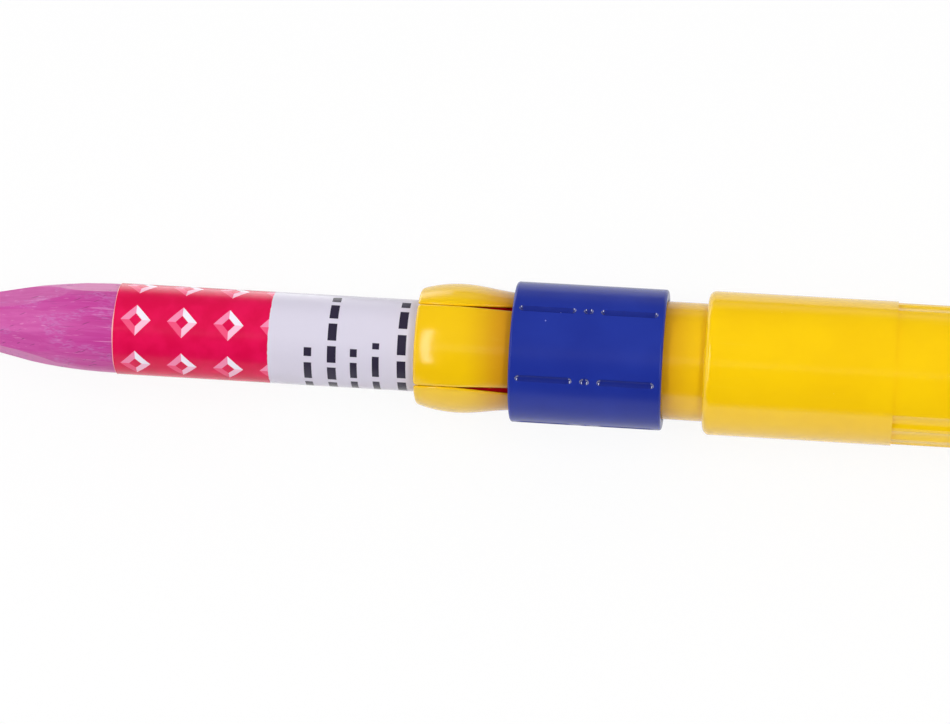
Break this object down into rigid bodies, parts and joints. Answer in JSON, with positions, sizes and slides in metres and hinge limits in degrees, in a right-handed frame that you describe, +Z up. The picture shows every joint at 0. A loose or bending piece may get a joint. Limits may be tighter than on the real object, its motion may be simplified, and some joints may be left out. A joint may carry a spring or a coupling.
{
  "type": "crayon holder",
  "caption": "Pastel crayon in a plastic holder: split collet jaws grip it, a sliding ring on the neck clamps the jaws, and a round barrel with side grooves is the handle.",
  "frame": {"origin": "on the surface that the holder lies on, below the middle of its length", "axes": "+X along the axis from the crayon's tip to the end plug, +Z up"},
  "size_m": [0.1688, 0.0156, 0.0156],
  "materials": {
    "pastel": "waxy, scraped at the point",
    "printed_paper": "coated print",
    "yellow_plastic": "glossy moulding",
    "blue_plastic": "satin gloss moulding"
  },
  "bodies": {
    "holder": {"collet_sleeve": "yellow_plastic", "barrel": "yellow_plastic", "end_plug": "yellow_plastic"},
    "clamp_ring": {"clamp_ring": "blue_plastic"},
    "crayon": {"pastel_stick": "pastel", "paper_wrapper": "printed_paper"},
    "jaw_1": {"collet_jaw_1": "yellow_plastic"},
    "jaw_2": {"collet_jaw_2": "yellow_plastic"},
    "jaw_3": {"collet_jaw_3": "yellow_plastic"},
    "jaw_4": {"collet_jaw_4": "yellow_plastic"}
  },
  "joints": [
    {"name": "ring_slide", "type": "slide", "parent": "holder", "child": "clamp_ring", "axis": [1, 0, 0], "range_m": [0, 0.0042]},
    {"name": "crayon_slide", "type": "slide", "parent": "holder", "child": "crayon", "axis": [-1, 0, 0], "range_m": [-0.0286, 0.0203]},
    {"name": "jaw_1_flex", "type": "hinge", "parent": "holder", "child": "jaw_1", "pos_m": [-0.00715, -0.00218, 0.01308], "axis": [0, 0.9239, 0.3827], "range_deg": [0, 1.8]},
    {"name": "jaw_2_flex", "type": "hinge", "parent": "holder", "child": "jaw_2", "pos_m": [-0.00715, -0.00527, 0.00563], "axis": [0, -0.3827, 0.9239], "range_deg": [0, 1.8]},
    {"name": "jaw_3_flex", "type": "hinge", "parent": "holder", "child": "jaw_3", "pos_m": [-0.00715, 0.00218, 0.00254], "axis": [0, -0.9239, -0.3827], "range_deg": [0, 1.8]},
    {"name": "jaw_4_flex", "type": "hinge", "parent": "holder", "child": "jaw_4", "pos_m": [-0.00715, 0.00527, 0.00999], "axis": [0, 0.3827, -0.9239], "range_deg": [0, 1.8]}
  ],
  "couplings": [
    {"joint": "jaw_1_flex", "follows": "ring_slide", "rad_per_m": 7.4762},
    {"joint": "jaw_2_flex", "follows": "ring_slide", "rad_per_m": 7.4762},
    {"joint": "jaw_3_flex", "follows": "ring_slide", "rad_per_m": 7.4762},
    {"joint": "jaw_4_flex", "follows": "ring_slide", "rad_per_m": 7.4762}
  ]
}
